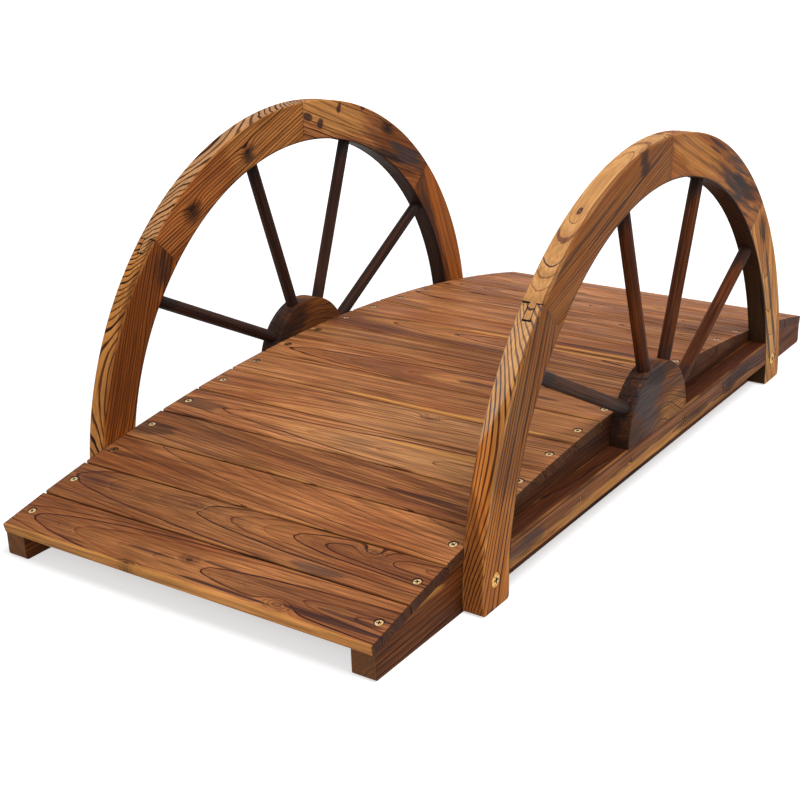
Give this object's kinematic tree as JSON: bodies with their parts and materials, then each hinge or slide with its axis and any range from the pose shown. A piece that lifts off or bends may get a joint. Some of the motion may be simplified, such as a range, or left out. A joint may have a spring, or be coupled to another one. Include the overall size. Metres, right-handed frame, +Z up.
{
  "type": "garden bridge",
  "caption": "Low arched timber garden bridge: a plank deck on curved stringers, with a spoked half wheel standing on each side as its guard.",
  "frame": {"origin": "on the ground, under the middle of the bridge", "axes": "+X along the walkway from its front end to its back end, +Y across it to the left half wheel, +Z up"},
  "size_m": [1.3274, 0.652, 0.488],
  "materials": {
    "plank": "charred and brushed, open grain, satin",
    "stringer": "charred and brushed, dark, satin",
    "felloe": "charred and brushed, bold dark grain, satin",
    "rail": "charred and brushed, open grain, satin",
    "hub": "charred and brushed, dark, satin",
    "spoke": "charred and brushed, dark, satin",
    "bolt": "zinc plated, yellow"
  },
  "bodies": {
    "root": {"deck_plank_01": "plank", "deck_plank_02": "plank", "deck_plank_03": "plank", "deck_plank_04": "plank", "deck_plank_05": "plank", "deck_plank_06": "plank", "deck_plank_07": "plank", "deck_plank_08": "plank", "deck_plank_09": "plank", "deck_plank_10": "plank", "deck_plank_11": "plank", "deck_plank_12": "plank", "deck_plank_13": "plank", "deck_plank_14": "plank", "deck_plank_15": "plank", "deck_plank_16": "plank", "deck_plank_17": "plank", "left_back_leg_bolt": "bolt", "left_back_leg_felloe": "felloe", "left_back_upper_felloe": "felloe", "left_front_leg_bolt": "bolt", "left_front_leg_felloe": "felloe", "left_front_upper_felloe": "felloe", "left_hub": "hub", "left_rail": "rail", "left_spoke_1": "spoke", "left_spoke_2": "spoke", "left_spoke_3": "spoke", "left_spoke_4": "spoke", "left_stringer": "stringer", "right_back_leg_bolt": "bolt", "right_back_leg_felloe": "felloe", "right_back_upper_felloe": "felloe", "right_front_leg_bolt": "bolt", "right_front_leg_felloe": "felloe", "right_front_upper_felloe": "felloe", "right_hub": "hub", "right_rail": "rail", "right_spoke_1": "spoke", "right_spoke_2": "spoke", "right_spoke_3": "spoke", "right_spoke_4": "spoke", "right_stringer": "stringer"}
  },
  "joints": []
}
